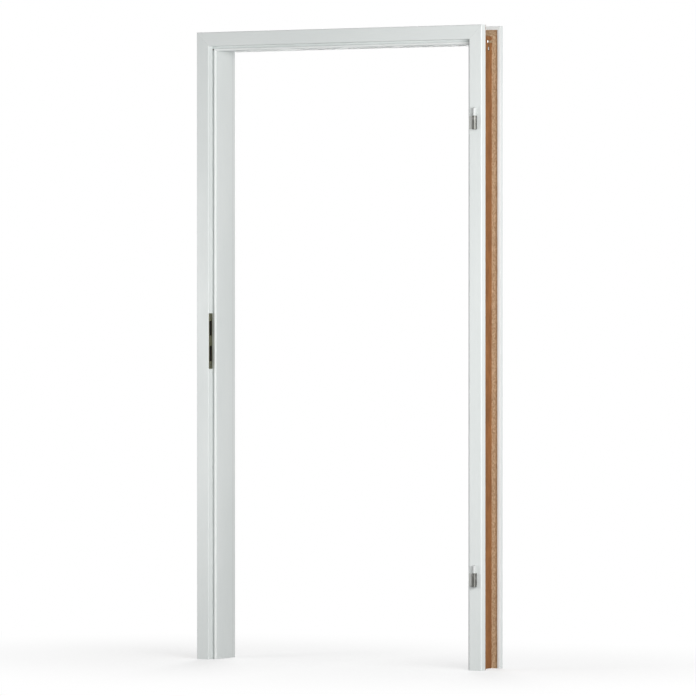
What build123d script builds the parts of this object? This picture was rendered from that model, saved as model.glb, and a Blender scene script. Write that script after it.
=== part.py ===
"""Rebated wraparound door frame: linings, rebated front casings, plug-in back casings and fittings.

Millimetres. +Z is up, the rebated front side faces -Y, the hinge side is at +X, and the origin is on
the floor in the middle of the whole frame.

A jamb's or the head's section is drawn in two directions: "out" is measured from the face of the clear
opening outward, and "back" from the front face of the front casing towards the back.
"""

from build123d import *
import os

# Opening for the door leaf
REBATE_WIDTH = 966.0
REBATE_HEIGHT = 1983.0
STOP_WIDTH = 15.0
REBATE_DEPTH = 26.0

# Wall that the frame wraps
WALL_THICKNESS = 95.0

# Boards
LINING_THICKNESS = 28.0
FRONT_CASING_FACE = 45.0
FRONT_CASING_THICKNESS = 28.0
FRONT_CASING_EDGE_RADIUS = 2.5
BACK_CASING_WIDTH = 60.0
BACK_CASING_THICKNESS = 16.0
BACK_CASING_EDGE_RADIUS = 2.0
RELIEF_SETBACK = 41.0
RELIEF_WIDTH = 7.0
RELIEF_DEPTH = 2.0
STOP_EDGE_RADIUS = 1.0

# Tongue of the back casing, and its groove in the lining
TONGUE_SETBACK = 7.0
TONGUE_THICKNESS = 8.0
TONGUE_LENGTH = 28.0
TONGUE_SIDE_CLEARANCE = 0.2
TONGUE_END_CLEARANCE = 2.0

# Tube seal, and its groove in the stop face
SEAL_SETBACK = 4.5
SEAL_BULB_RADIUS = 3.2
SEAL_WALL = 1.0
SEAL_FOOT_THICKNESS = 3.6
SEAL_FOOT_LENGTH = 5.5
SEAL_FOOT_CLEARANCE = 0.2

# Strike plate in the rebate of the left jamb
STRIKE_LENGTH = 180.0
STRIKE_WIDTH = 23.0
STRIKE_THICKNESS = 2.0
STRIKE_CORNER_RADIUS = 3.0
STRIKE_HEIGHT = 1030.0
STRIKE_CLEARANCE = 0.2
KEEP_WIDTH = 15.0
KEEP_CORNER_RADIUS = 1.5
KEEP_DEPTH = 18.0
LATCH_KEEP_LENGTH = 47.0
LATCH_KEEP_RISE = 41.5
BOLT_KEEP_LENGTH = 49.0
BOLT_KEEP_DROP = 40.5
STRIKE_SCREW_INSET = 12.5

# Frame half of a hinge; its reference line is the knuckle's top
UPPER_HINGE_DROP = 241.0
HINGE_SPACING = 1435.0
KNUCKLE_RADIUS = 8.0
KNUCKLE_LENGTH = 43.0
KNUCKLE_GAP = 0.5
KNUCKLE_EDGE_RADIUS = 0.8
HINGE_SETBACK = 24.0
HINGE_PIN_RADIUS = 4.5
HINGE_PIN_DEPTH = 38.0
HINGE_PIN_TIP = 1.0
HINGE_SLEEVE_WALL = 1.0
HINGE_SLEEVE_LENGTH = 24.0
HINGE_FIT_CLEARANCE = 0.05
FLAP_THICKNESS = 2.5
FLAP_SHOULDER = 1.5
FLAP_DEPTH = 16.0
FLAP_BEND_RADIUS = 2.0
FLAP_CLEARANCE = 0.2
FLAP_SCREW_SPACING = 22.0
FLAP_SCREW_BACK = 9.0

# Countersunk screws
SCREW_HEAD_RADIUS = 3.6
SCREW_SHANK_RADIUS = 1.8
SCREW_LENGTH = 20.0
SCREW_HOLE_CLEARANCE = 0.05
SCREW_SLOT_LENGTH = 4.0
SCREW_SLOT_WIDTH = 0.9
SCREW_SLOT_DEPTH = 1.2

# Connector bolts that pull the head lining onto the jamb linings
CORNER_BOLT_COVER = 5.0
CORNER_BOLT_RADIUS = 2.5
CORNER_BOLT_HEAD_RADIUS = 4.6
CORNER_BOLT_HEAD_LENGTH = 10.0
CORNER_BOLT_HEAD_DROP = 6.0
CORNER_BOLT_GRIP = 22.0
CORNER_BOLT_NOTCH = 8.0
CORNER_BOLT_CLEARANCE = 0.3
CORNER_BOLT_POCKET_ROOM = 2.0
FRONT_CORNER_BOLT_BACK = 45.0
REAR_CORNER_BOLT_BACK = 105.0

# Sizes that follow from these
HINGE_REFERENCE_HEIGHTS = {
    "upper": REBATE_HEIGHT - UPPER_HINGE_DROP,
    "lower": REBATE_HEIGHT - UPPER_HINGE_DROP - HINGE_SPACING,
}
CLEAR_HALF_WIDTH = REBATE_WIDTH / 2 - STOP_WIDTH
CLEAR_HEIGHT = REBATE_HEIGHT - STOP_WIDTH
FRONT_CASING_OUT = STOP_WIDTH + FRONT_CASING_FACE
FRAME_TOP = CLEAR_HEIGHT + max(FRONT_CASING_OUT, BACK_CASING_WIDTH)
LINING_BACK = FRONT_CASING_THICKNESS + WALL_THICKNESS
FRAME_DEPTH = LINING_BACK + BACK_CASING_THICKNESS
HINGE_REACH = KNUCKLE_GAP + 2 * KNUCKLE_RADIUS
FRONT_Y = (HINGE_REACH - FRAME_DEPTH) / 2
SEAL_GROOVE_HALF = SEAL_FOOT_THICKNESS / 2 + SEAL_FOOT_CLEARANCE
SEAL_GROOVE_BACK = REBATE_DEPTH + SEAL_FOOT_LENGTH + SEAL_FOOT_CLEARANCE
TONGUE_FRONT = LINING_BACK - TONGUE_LENGTH
TONGUE_GROOVE_FRONT = TONGUE_FRONT - TONGUE_END_CLEARANCE
TONGUE_GROOVE_IN = TONGUE_SETBACK - TONGUE_SIDE_CLEARANCE
TONGUE_GROOVE_OUT = TONGUE_SETBACK + TONGUE_THICKNESS + TONGUE_SIDE_CLEARANCE
CORNER_BOLT_BACKS = (FRONT_CORNER_BOLT_BACK, REAR_CORNER_BOLT_BACK)

LEFT = -1
RIGHT = 1
SIDES = {"left": LEFT, "right": RIGHT}


# Places and section outlines


def jamb_x(side, out):
    return side * (CLEAR_HALF_WIDTH + out)


def jamb_points(side, section):
    return [(jamb_x(side, out), FRONT_Y + back) for out, back in section]


def head_points(section):
    return [(FRONT_Y + back, CLEAR_HEIGHT + out) for out, back in section]


def mitre_plane(side):
    """Plane through the opening's corner and the frame's outer corner, facing the head."""
    return Plane(origin=(jamb_x(side, 0), 0, CLEAR_HEIGHT), z_dir=(-side, 0, 1))


def lining_section():
    seal_in = SEAL_SETBACK - SEAL_GROOVE_HALF
    seal_out = SEAL_SETBACK + SEAL_GROOVE_HALF
    return [
        (0, REBATE_DEPTH),
        (seal_in, REBATE_DEPTH),
        (seal_in, SEAL_GROOVE_BACK),
        (seal_out, SEAL_GROOVE_BACK),
        (seal_out, REBATE_DEPTH),
        (LINING_THICKNESS, REBATE_DEPTH),
        (LINING_THICKNESS, LINING_BACK),
        (TONGUE_GROOVE_OUT, LINING_BACK),
        (TONGUE_GROOVE_OUT, TONGUE_GROOVE_FRONT),
        (TONGUE_GROOVE_IN, TONGUE_GROOVE_FRONT),
        (TONGUE_GROOVE_IN, LINING_BACK),
        (0, LINING_BACK),
    ]


def front_casing_section():
    """The casing's back is cut away where the lining's front edge is housed in it."""
    return [
        (STOP_WIDTH, 0),
        (FRONT_CASING_OUT, 0),
        (FRONT_CASING_OUT, FRONT_CASING_THICKNESS),
        (LINING_THICKNESS, FRONT_CASING_THICKNESS),
        (LINING_THICKNESS, REBATE_DEPTH),
        (STOP_WIDTH, REBATE_DEPTH),
    ]


def back_casing_section():
    """Tongue, wall side with a relief groove, and the plain face towards the room behind."""
    tongue_out = TONGUE_SETBACK + TONGUE_THICKNESS
    relief_out = RELIEF_SETBACK + RELIEF_WIDTH
    return [
        (0, LINING_BACK),
        (TONGUE_SETBACK, LINING_BACK),
        (TONGUE_SETBACK, TONGUE_FRONT),
        (tongue_out, TONGUE_FRONT),
        (tongue_out, LINING_BACK),
        (RELIEF_SETBACK, LINING_BACK),
        (RELIEF_SETBACK, LINING_BACK + RELIEF_DEPTH),
        (relief_out, LINING_BACK + RELIEF_DEPTH),
        (relief_out, LINING_BACK),
        (BACK_CASING_WIDTH, LINING_BACK),
        (BACK_CASING_WIDTH, FRAME_DEPTH),
        (0, FRAME_DEPTH),
    ]


def block(low, high, mode=Mode.ADD):
    """A box between two opposite corners, in the part being built."""
    with Locations(tuple((a + b) / 2 for a, b in zip(low, high))):
        Box(*[abs(b - a) for a, b in zip(low, high)], mode=mode)


def save(piece, name):
    piece.part.label = name
    export_step(piece.part, f"parts/{name}.step")


# Screws


def screw_place(side, back, height):
    """Where a screw's head lies in the rebate's side face, with the shank pointing outward."""
    origin = (jamb_x(side, STOP_WIDTH), FRONT_Y + back, height)
    return Plane(origin=origin, x_dir=(0, 1, 0), z_dir=(side, 0, 0))


def screw_form(place, clearance=0.0, mode=Mode.ADD):
    """A countersunk head and its shank, or the hole for them, in the part being built."""
    head_radius = SCREW_HEAD_RADIUS + clearance
    shank_radius = SCREW_SHANK_RADIUS + clearance
    head_depth = head_radius - shank_radius
    from_face = (Align.CENTER, Align.CENTER, Align.MIN)
    with Locations(place):
        Cone(head_radius, shank_radius, head_depth, align=from_face, mode=mode)
        Cylinder(shank_radius, SCREW_LENGTH + clearance, align=from_face, mode=mode)


def make_screws(name, places):
    with BuildPart() as screws:
        for place in places:
            screw_form(place)
            with Locations(place):
                Box(SCREW_SLOT_LENGTH, SCREW_SLOT_WIDTH, 2 * SCREW_SLOT_DEPTH, mode=Mode.SUBTRACT)
                Box(SCREW_SLOT_WIDTH, SCREW_SLOT_LENGTH, 2 * SCREW_SLOT_DEPTH, mode=Mode.SUBTRACT)
    save(screws, name)


# Corner bolts


def corner_bolt_place(side, back):
    """The bolt's axis, where it crosses the joint between the jamb lining and the head lining."""
    out = LINING_THICKNESS - CORNER_BOLT_COVER
    return jamb_x(side, out), FRONT_Y + back


def make_corner_bolts(name, side):
    head_top = CLEAR_HEIGHT - CORNER_BOLT_HEAD_DROP
    head_bottom = head_top - CORNER_BOLT_HEAD_LENGTH
    with BuildPart() as bolts:
        for back in CORNER_BOLT_BACKS:
            place = corner_bolt_place(side, back)
            with BuildSketch(Plane.XY.offset(head_bottom)):
                with Locations(place):
                    Circle(CORNER_BOLT_HEAD_RADIUS)
            extrude(amount=CORNER_BOLT_HEAD_LENGTH)
            with BuildSketch(Plane.XY.offset(head_top)):
                with Locations(place):
                    Circle(CORNER_BOLT_RADIUS)
            extrude(amount=CORNER_BOLT_HEAD_DROP + CORNER_BOLT_GRIP)
        rims = bolts.edges().filter_by(GeomType.CIRCLE).group_by(Axis.Z)[0]
        fillet(rims, (CORNER_BOLT_HEAD_RADIUS - CORNER_BOLT_RADIUS) / 2)
    save(bolts, name)


# Linings


def cut_bolt_pockets(side):
    """Pockets in a jamb lining's raw face for the bolts' heads, and slots up to its end for their shanks."""
    head_top = CLEAR_HEIGHT - CORNER_BOLT_HEAD_DROP
    head_room = CORNER_BOLT_HEAD_LENGTH + CORNER_BOLT_POCKET_ROOM
    for back in CORNER_BOLT_BACKS:
        x, y = corner_bolt_place(side, back)
        raw_face = jamb_x(side, LINING_THICKNESS)
        for half, bottom, top in (
            (CORNER_BOLT_HEAD_RADIUS + CORNER_BOLT_CLEARANCE, head_top - head_room, head_top),
            (CORNER_BOLT_RADIUS + CORNER_BOLT_CLEARANCE, head_top, CLEAR_HEIGHT),
        ):
            inner = x - side * half
            block((inner, y - half, bottom), (raw_face, y + half, top), mode=Mode.SUBTRACT)


def cut_bolt_slots(side):
    """Open slots at the head lining's end, and the bolts' holes above them."""
    hole_radius = CORNER_BOLT_RADIUS + SCREW_HOLE_CLEARANCE
    half = CORNER_BOLT_RADIUS + CORNER_BOLT_CLEARANCE
    for back in CORNER_BOLT_BACKS:
        x, y = corner_bolt_place(side, back)
        end_face = jamb_x(side, LINING_THICKNESS)
        notch_top = CLEAR_HEIGHT + CORNER_BOLT_NOTCH
        block((x - side * half, y - half, CLEAR_HEIGHT), (end_face, y + half, notch_top), mode=Mode.SUBTRACT)
        with BuildSketch(Plane.XY.offset(CLEAR_HEIGHT)) as hole:
            with Locations((x, y)):
                Circle(hole_radius)
        extrude(hole.sketch, amount=CORNER_BOLT_GRIP + SCREW_HOLE_CLEARANCE, mode=Mode.SUBTRACT)


def make_jamb_lining(name, side):
    with BuildPart() as lining:
        with BuildSketch() as section:
            with BuildLine():
                Polyline(*jamb_points(side, lining_section()), close=True)
            make_face()
            stop_corner = section.vertices().group_by(Axis.Y)[0].sort_by(Axis.X)[0 if side == RIGHT else -1]
            fillet(stop_corner, STOP_EDGE_RADIUS)
        extrude(amount=CLEAR_HEIGHT)
        cut_bolt_pockets(side)
    save(lining, name)


def make_head_lining():
    with BuildPart() as lining:
        with BuildSketch(Plane.YZ) as section:
            with BuildLine():
                Polyline(*head_points(lining_section()), close=True)
            make_face()
            stop_corner = section.vertices().group_by(Axis.X)[0].sort_by(Axis.Y)[0]
            fillet(stop_corner, STOP_EDGE_RADIUS)
        extrude(amount=CLEAR_HALF_WIDTH + LINING_THICKNESS, both=True)
        for side in SIDES.values():
            cut_bolt_slots(side)
            # The jambs' seal feet and tongues run up to the mitre
            block(
                (jamb_x(side, SEAL_SETBACK - SEAL_GROOVE_HALF), FRONT_Y + REBATE_DEPTH, CLEAR_HEIGHT),
                (
                    jamb_x(side, SEAL_SETBACK + SEAL_GROOVE_HALF),
                    FRONT_Y + SEAL_GROOVE_BACK,
                    CLEAR_HEIGHT + SEAL_SETBACK + SEAL_GROOVE_HALF,
                ),
                mode=Mode.SUBTRACT,
            )
            block(
                (jamb_x(side, TONGUE_GROOVE_IN), FRONT_Y + TONGUE_GROOVE_FRONT, CLEAR_HEIGHT),
                (jamb_x(side, TONGUE_GROOVE_OUT), FRONT_Y + LINING_BACK, CLEAR_HEIGHT + TONGUE_GROOVE_OUT),
                mode=Mode.SUBTRACT,
            )
    save(lining, "head_lining")


# Back casings


def make_jamb_back_casing(name, side):
    with BuildPart() as casing:
        with BuildSketch() as section:
            with BuildLine():
                Polyline(*jamb_points(side, back_casing_section()), close=True)
            make_face()
            fillet(section.vertices().group_by(Axis.Y)[-1], BACK_CASING_EDGE_RADIUS)
        extrude(amount=FRAME_TOP)
        split(bisect_by=mitre_plane(side), keep=Keep.BOTTOM)
    save(casing, name)


def make_head_back_casing():
    with BuildPart() as casing:
        with BuildSketch(Plane.YZ) as section:
            with BuildLine():
                Polyline(*head_points(back_casing_section()), close=True)
            make_face()
            fillet(section.vertices().group_by(Axis.X)[-1], BACK_CASING_EDGE_RADIUS)
        extrude(amount=CLEAR_HALF_WIDTH + BACK_CASING_WIDTH, both=True)
        for side in SIDES.values():
            split(bisect_by=mitre_plane(side), keep=Keep.TOP)
    save(casing, "head_back_casing")


# Seals


def draw_seal(centre, foot_along):
    """Tube and foot in the sketch being drawn; foot_along is the way the foot points."""
    foot_length = SEAL_BULB_RADIUS + SEAL_FOOT_LENGTH
    foot_middle = tuple(c + a * foot_length / 2 for c, a in zip(centre, foot_along))
    foot_size = [foot_length if a else SEAL_FOOT_THICKNESS for a in foot_along]
    with Locations(centre):
        Circle(SEAL_BULB_RADIUS)
    with Locations(foot_middle):
        Rectangle(*foot_size)
    with Locations(centre):
        Circle(SEAL_BULB_RADIUS - SEAL_WALL, mode=Mode.SUBTRACT)


def make_jamb_seal(name, side):
    centre = jamb_points(side, [(SEAL_SETBACK, REBATE_DEPTH - SEAL_BULB_RADIUS)])[0]
    with BuildPart() as seal:
        with BuildSketch():
            draw_seal(centre, (0, 1))
        extrude(amount=FRAME_TOP)
        split(bisect_by=mitre_plane(side), keep=Keep.BOTTOM)
    save(seal, name)


def make_head_seal():
    centre = head_points([(SEAL_SETBACK, REBATE_DEPTH - SEAL_BULB_RADIUS)])[0]
    with BuildPart() as seal:
        with BuildSketch(Plane.YZ):
            draw_seal(centre, (1, 0))
        extrude(amount=CLEAR_HALF_WIDTH + STOP_WIDTH, both=True)
        for side in SIDES.values():
            split(bisect_by=mitre_plane(side), keep=Keep.TOP)
    save(seal, "head_seal")


# Strike plate


def strike_keeps():
    """Length and height of the latch opening and of the bolt opening."""
    return [
        (LATCH_KEEP_LENGTH, STRIKE_HEIGHT + LATCH_KEEP_RISE),
        (BOLT_KEEP_LENGTH, STRIKE_HEIGHT - BOLT_KEEP_DROP),
    ]


def strike_screw_places():
    reach = STRIKE_LENGTH / 2 - STRIKE_SCREW_INSET
    return [screw_place(LEFT, REBATE_DEPTH / 2, STRIKE_HEIGHT + rise) for rise in (reach, -reach)]


def strike_plane():
    """The rebate's side face on the lock side, facing the board behind it."""
    origin = (jamb_x(LEFT, STOP_WIDTH), FRONT_Y + REBATE_DEPTH / 2, 0)
    return Plane(origin=origin, x_dir=(0, 1, 0), z_dir=(LEFT, 0, 0))


def draw_strike_outline(clearance=0.0):
    with Locations((0, -STRIKE_HEIGHT)):
        RectangleRounded(
            STRIKE_WIDTH + 2 * clearance, STRIKE_LENGTH + 2 * clearance, STRIKE_CORNER_RADIUS + clearance
        )


def draw_keeps(mode=Mode.ADD):
    for length, height in strike_keeps():
        with Locations((0, -height)):
            RectangleRounded(KEEP_WIDTH, length, KEEP_CORNER_RADIUS, mode=mode)


def make_strike_plate():
    with BuildPart() as plate:
        with BuildSketch(strike_plane()):
            draw_strike_outline()
            draw_keeps(mode=Mode.SUBTRACT)
        extrude(amount=STRIKE_THICKNESS)
        for place in strike_screw_places():
            screw_form(place, SCREW_HOLE_CLEARANCE, Mode.SUBTRACT)
    save(plate, "strike_plate")


def cut_strike_pockets():
    """The plate's recess, the pockets behind its two openings and its screw holes, in the left casing."""
    with BuildSketch(strike_plane()) as recess:
        draw_strike_outline(STRIKE_CLEARANCE)
    extrude(recess.sketch, amount=STRIKE_THICKNESS, mode=Mode.SUBTRACT)
    with BuildSketch(strike_plane()) as pockets:
        draw_keeps()
    extrude(pockets.sketch, amount=STRIKE_THICKNESS + KEEP_DEPTH, mode=Mode.SUBTRACT)
    for place in strike_screw_places():
        screw_form(place, SCREW_HOLE_CLEARANCE, Mode.SUBTRACT)


# Hinges


def hinge_axis():
    return jamb_x(RIGHT, STOP_WIDTH + HINGE_SETBACK), FRONT_Y - KNUCKLE_GAP - KNUCKLE_RADIUS


def hinge_screw_places(reference):
    middle = reference - KNUCKLE_LENGTH / 2
    rises = (FLAP_SCREW_SPACING / 2, -FLAP_SCREW_SPACING / 2)
    return [screw_place(RIGHT, FLAP_SCREW_BACK, middle + rise) for rise in rises]


def make_hinge_knuckle(name, reference):
    """The knuckle, with the flap that runs along the casing's face and turns into the rebate."""
    bottom = reference - KNUCKLE_LENGTH
    x, y = hinge_axis()
    rebate_x = jamb_x(RIGHT, STOP_WIDTH)
    flap_front = FRONT_Y - KNUCKLE_GAP - FLAP_THICKNESS
    with BuildPart() as knuckle:
        with BuildSketch(Plane.XY.offset(bottom + FLAP_SHOULDER)) as flap:
            with BuildLine():
                Polyline(
                    (rebate_x, flap_front),
                    (x, flap_front),
                    (x, FRONT_Y - KNUCKLE_GAP),
                    (rebate_x + FLAP_THICKNESS, FRONT_Y - KNUCKLE_GAP),
                    (rebate_x + FLAP_THICKNESS, FRONT_Y + FLAP_DEPTH),
                    (rebate_x, FRONT_Y + FLAP_DEPTH),
                    close=True,
                )
            make_face()
            fillet(flap.vertices().group_by(Axis.X)[0].sort_by(Axis.Y)[0], FLAP_BEND_RADIUS)
        extrude(amount=KNUCKLE_LENGTH - 2 * FLAP_SHOULDER)
        with BuildSketch(Plane.XY.offset(bottom)):
            with Locations((x, y)):
                Circle(KNUCKLE_RADIUS)
        extrude(amount=KNUCKLE_LENGTH)
        rims = knuckle.edges().filter_by(GeomType.CIRCLE).filter_by(lambda rim: rim.radius == KNUCKLE_RADIUS)
        ends = rims.group_by(Axis.Z)[0] + rims.group_by(Axis.Z)[-1]
        fillet(ends, KNUCKLE_EDGE_RADIUS)
        with BuildSketch(Plane.XY.offset(reference)):
            with Locations((x, y)):
                Circle(HINGE_PIN_RADIUS + HINGE_FIT_CLEARANCE)
        extrude(amount=-HINGE_PIN_DEPTH, mode=Mode.SUBTRACT)
        for place in hinge_screw_places(reference):
            screw_form(place, SCREW_HOLE_CLEARANCE, Mode.SUBTRACT)
    save(knuckle, name)


def make_hinge_pin(name, reference):
    with BuildPart() as pin:
        with BuildSketch(Plane.XY.offset(reference - HINGE_PIN_DEPTH)):
            with Locations(hinge_axis()):
                Circle(HINGE_PIN_RADIUS)
        extrude(amount=HINGE_PIN_DEPTH + HINGE_SLEEVE_LENGTH + HINGE_PIN_TIP)
        chamfer(pin.edges().group_by(Axis.Z)[-1], HINGE_PIN_TIP)
    save(pin, name)


def make_hinge_sleeve(name, reference):
    bore = HINGE_PIN_RADIUS + HINGE_FIT_CLEARANCE
    with BuildPart() as sleeve:
        with BuildSketch(Plane.XY.offset(reference)):
            with Locations(hinge_axis()):
                Circle(bore + HINGE_SLEEVE_WALL)
                Circle(bore, mode=Mode.SUBTRACT)
        extrude(amount=HINGE_SLEEVE_LENGTH)
    save(sleeve, name)


def cut_hinge_recess(reference):
    """The recess for a hinge's flap and its screw holes, in the right casing."""
    rebate_x = jamb_x(RIGHT, STOP_WIDTH)
    low = (rebate_x, FRONT_Y, reference - KNUCKLE_LENGTH + FLAP_SHOULDER - FLAP_CLEARANCE)
    high = (
        rebate_x + FLAP_THICKNESS,
        FRONT_Y + FLAP_DEPTH + FLAP_CLEARANCE,
        reference - FLAP_SHOULDER + FLAP_CLEARANCE,
    )
    block(low, high, mode=Mode.SUBTRACT)
    for place in hinge_screw_places(reference):
        screw_form(place, SCREW_HOLE_CLEARANCE, Mode.SUBTRACT)


# Front casings


def make_jamb_front_casing(name, side):
    with BuildPart() as casing:
        with BuildSketch() as section:
            with BuildLine():
                Polyline(*jamb_points(side, front_casing_section()), close=True)
            make_face()
            fillet(section.vertices().group_by(Axis.Y)[0], FRONT_CASING_EDGE_RADIUS)
        extrude(amount=FRAME_TOP)
        split(bisect_by=mitre_plane(side), keep=Keep.BOTTOM)
        if side == LEFT:
            cut_strike_pockets()
        else:
            for reference in HINGE_REFERENCE_HEIGHTS.values():
                cut_hinge_recess(reference)
    save(casing, name)


def make_head_front_casing():
    with BuildPart() as casing:
        with BuildSketch(Plane.YZ) as section:
            with BuildLine():
                Polyline(*head_points(front_casing_section()), close=True)
            make_face()
            fillet(section.vertices().group_by(Axis.X)[0], FRONT_CASING_EDGE_RADIUS)
        extrude(amount=CLEAR_HALF_WIDTH + FRONT_CASING_OUT, both=True)
        for side in SIDES.values():
            split(bisect_by=mitre_plane(side), keep=Keep.TOP)
    save(casing, "head_front_casing")


# The whole frame

os.makedirs("parts", exist_ok=True)

for side_name, side in SIDES.items():
    make_jamb_lining(f"{side_name}_lining", side)
    make_jamb_front_casing(f"{side_name}_front_casing", side)
    make_jamb_back_casing(f"{side_name}_back_casing", side)
    make_jamb_seal(f"{side_name}_seal", side)
    make_corner_bolts(f"{side_name}_corner_bolts", side)

make_head_lining()
make_head_front_casing()
make_head_back_casing()
make_head_seal()

make_strike_plate()
make_screws("strike_plate_screws", strike_screw_places())

for level, reference in HINGE_REFERENCE_HEIGHTS.items():
    make_hinge_knuckle(f"{level}_hinge_knuckle", reference)
    make_hinge_pin(f"{level}_hinge_pin", reference)
    make_hinge_sleeve(f"{level}_hinge_sleeve", reference)
    make_screws(f"{level}_hinge_screws", hinge_screw_places(reference))
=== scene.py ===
"""Looks of a white rebated wraparound door frame: filmed boards, seals, fittings and the studio."""

import math

import bmesh
import bpy
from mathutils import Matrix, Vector


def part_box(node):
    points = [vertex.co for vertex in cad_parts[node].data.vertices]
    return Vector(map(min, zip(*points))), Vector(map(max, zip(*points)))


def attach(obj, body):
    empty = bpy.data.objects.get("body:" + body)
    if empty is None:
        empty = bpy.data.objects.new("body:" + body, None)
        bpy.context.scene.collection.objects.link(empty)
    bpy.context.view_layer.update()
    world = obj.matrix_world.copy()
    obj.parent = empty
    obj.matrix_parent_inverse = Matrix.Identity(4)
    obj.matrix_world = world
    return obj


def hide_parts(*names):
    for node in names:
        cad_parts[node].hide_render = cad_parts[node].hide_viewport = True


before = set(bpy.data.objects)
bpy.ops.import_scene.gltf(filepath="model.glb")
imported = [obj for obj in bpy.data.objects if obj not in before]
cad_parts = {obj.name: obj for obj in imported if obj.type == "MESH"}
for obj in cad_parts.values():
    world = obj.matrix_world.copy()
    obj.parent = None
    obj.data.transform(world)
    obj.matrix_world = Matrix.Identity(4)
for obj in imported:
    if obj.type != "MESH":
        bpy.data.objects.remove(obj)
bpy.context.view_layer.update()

bl_info = {
    "name": "Door Frame",
    "version": (1, 0, 0),
    "blender": (4, 5, 0),
    "location": "View3D > Sidebar > Door Frame",
    "description": "Dresses a rebated wraparound door frame and sets up its studio",
    "category": "Object",
}

MM = 0.001
SIDES = {"left": -1, "right": 1}
LEVELS = ("upper", "lower")
BEYOND = 1.0  # Metres: a face that far off puts no film on a board.
SHARP_ANGLE = math.radians(38)

# Places read from the frame. A section runs "out" from the clear opening and "back" from the
# front face.
CLEAR_HALF_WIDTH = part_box("right_lining")[0].x
CLEAR_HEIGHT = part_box("right_lining")[1].z
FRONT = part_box("head_front_casing")[0].y
LINING_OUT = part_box("right_lining")[1].x - CLEAR_HALF_WIDTH
LINING_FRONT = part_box("right_lining")[0].y - FRONT
LINING_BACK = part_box("right_lining")[1].y - FRONT
REBATE_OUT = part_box("right_front_casing")[0].x - CLEAR_HALF_WIDTH
CASING_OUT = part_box("right_front_casing")[1].x - CLEAR_HALF_WIDTH
CASING_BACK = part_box("right_front_casing")[1].y - FRONT
FRAME_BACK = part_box("right_back_casing")[1].y - FRONT
STRIKE_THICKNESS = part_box("strike_plate")[1].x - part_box("strike_plate")[0].x
HINGE_AXIS = (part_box("upper_hinge_pin")[0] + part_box("upper_hinge_pin")[1]) / 2
KNUCKLE_RADIUS = HINGE_AXIS.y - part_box("upper_hinge_knuckle")[0].y
SEAL_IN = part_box("right_seal")[0].x - CLEAR_HALF_WIDTH
SEAL_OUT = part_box("right_seal")[1].x - CLEAR_HALF_WIDTH
SEAL_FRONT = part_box("right_seal")[0].y - FRONT
SEAL_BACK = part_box("right_seal")[1].y - FRONT


# Settings


def color_setting(name, description, default):
    """A colour that a user can change."""
    return bpy.props.FloatVectorProperty(
        name=name,
        description=description,
        subtype="COLOR",
        size=3,
        min=0.0,
        max=1.0,
        default=default,
    )


def length_setting(name, description, default):
    """A length that a user can change, in metres."""
    return bpy.props.FloatProperty(
        name=name,
        description=description,
        subtype="DISTANCE",
        unit="LENGTH",
        default=default,
    )


def power_setting(name, description, default):
    """A lamp's power that a user can change, in watts."""
    return bpy.props.FloatProperty(
        name=name,
        description=description,
        subtype="POWER",
        unit="POWER",
        default=default,
    )


class BoardSettings(bpy.types.PropertyGroup):
    """Film, chips and fibres of the boards."""

    film_color: color_setting("Film", "White film on the visible faces", (0.76, 0.79, 0.78))
    film_shade: color_setting(
        "Film Shade", "Slightly greyer tone that clouds the film", (0.71, 0.745, 0.735)
    )
    film_thickness: length_setting(
        "Film Thickness",
        "Thickness of the film, which shows as a line at the boards' ends",
        0.45 * MM,
    )
    film_return: length_setting(
        "Film Return", "How far the film is turned onto the back casing's wall side", 11.6 * MM
    )
    # Painted light: the turned edge is the same film, given a whiter colour so that it looks more
    # brightly lit.
    return_lit_color: color_setting(
        "Turned Film",
        "Clean white of the film's turned edge, which no hand has rubbed",
        (0.87, 0.89, 0.885),
    )
    film_side: length_setting(
        "Film on the Side", "How far back the film covers the front casing's outer side", 25.5 * MM
    )
    front_edge_radius: length_setting(
        "Front Edge Radius", "Rounding of the front casing's edges", 2.5 * MM
    )
    back_edge_radius: length_setting(
        "Back Edge Radius", "Rounding of the back casing's edges", 2.0 * MM
    )
    stop_edge_radius: length_setting(
        "Stop Edge Radius", "Rounding of the lining's edge at the stop", 1.0 * MM
    )
    joint_width: length_setting(
        "Joint Width", "Width of the hairline where two boards meet", 0.22 * MM
    )
    chip_light: color_setting(
        "Light Chips", "Palest chips of the particle board", (0.68, 0.51, 0.33)
    )
    chip_dark: color_setting(
        "Dark Chips", "Darkest chips of the particle board", (0.30, 0.17, 0.08)
    )
    # Painted shade: this keep colour is a near-black colour painted inside the keeps, where shade
    # falls, not scorched board.
    keep_shade_color: color_setting(
        "Keeps",
        "Dark scorched board inside the keeps behind the strike plate",
        (0.016, 0.014, 0.009),
    )
    # Painted shade: this pocket colour is a dark colour painted into the corner bolts' pockets near
    # the top, where shade falls, not glue stain.
    pocket_shade_color: color_setting(
        "Bolt Pockets",
        "Glue-stained board in the pockets of the corner bolts",
        (0.060, 0.035, 0.020),
    )
    backing_light: color_setting(
        "Backing", "Reddish brown backing sheet on the lining's wall side", (0.305, 0.128, 0.038)
    )
    backing_dark: color_setting(
        "Backing Shade", "Darker fibres of the backing sheet", (0.16, 0.062, 0.018)
    )


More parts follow.
